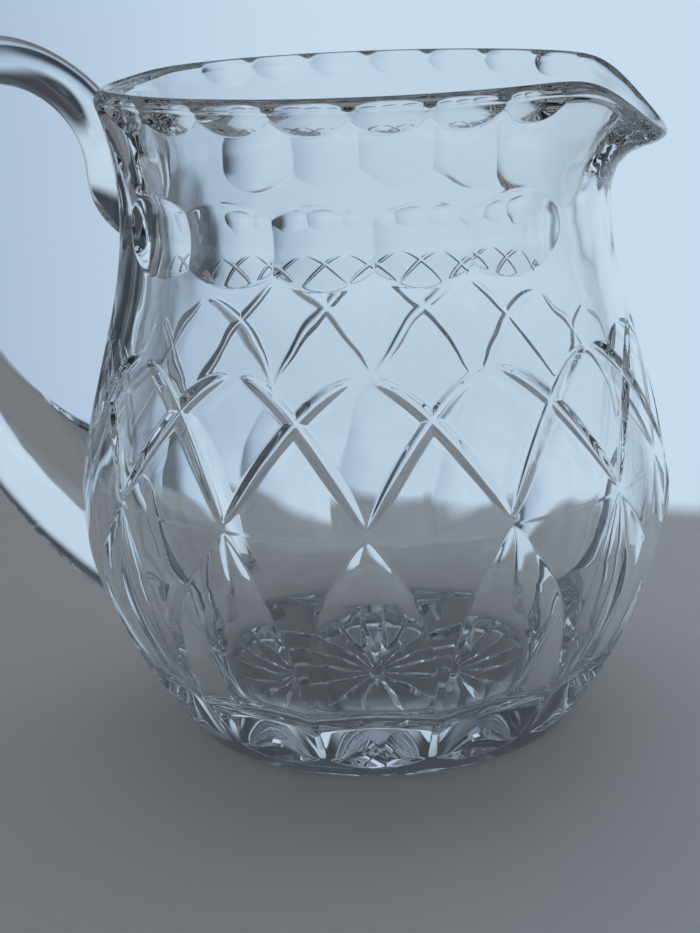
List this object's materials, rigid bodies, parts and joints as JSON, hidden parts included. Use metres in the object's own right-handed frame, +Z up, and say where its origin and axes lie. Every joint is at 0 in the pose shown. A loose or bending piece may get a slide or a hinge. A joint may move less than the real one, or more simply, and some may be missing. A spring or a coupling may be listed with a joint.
{
  "type": "cut glass pitcher",
  "caption": "Small round-bellied glass pitcher with a pulled pouring lip, an applied handle and a cut pattern of crossed mitres, flutes, ovals and a base star.",
  "frame": {"origin": "on the body's axis, at the middle of the flat underside that the pitcher rests on", "axes": "+Z up along the body's axis, +X towards the pouring lip, the handle towards -X, +Y to the left of the lip seen from above"},
  "size_m": [0.1716, 0.1292, 0.1498],
  "materials": {
    "body_glass": "clear colourless glass, polished, with polished wheel cuts",
    "handle_glass": "clear colourless glass, fire polished"
  },
  "bodies": {
    "root": {"pitcher_body": "body_glass", "applied_handle": "handle_glass"}
  },
  "joints": []
}
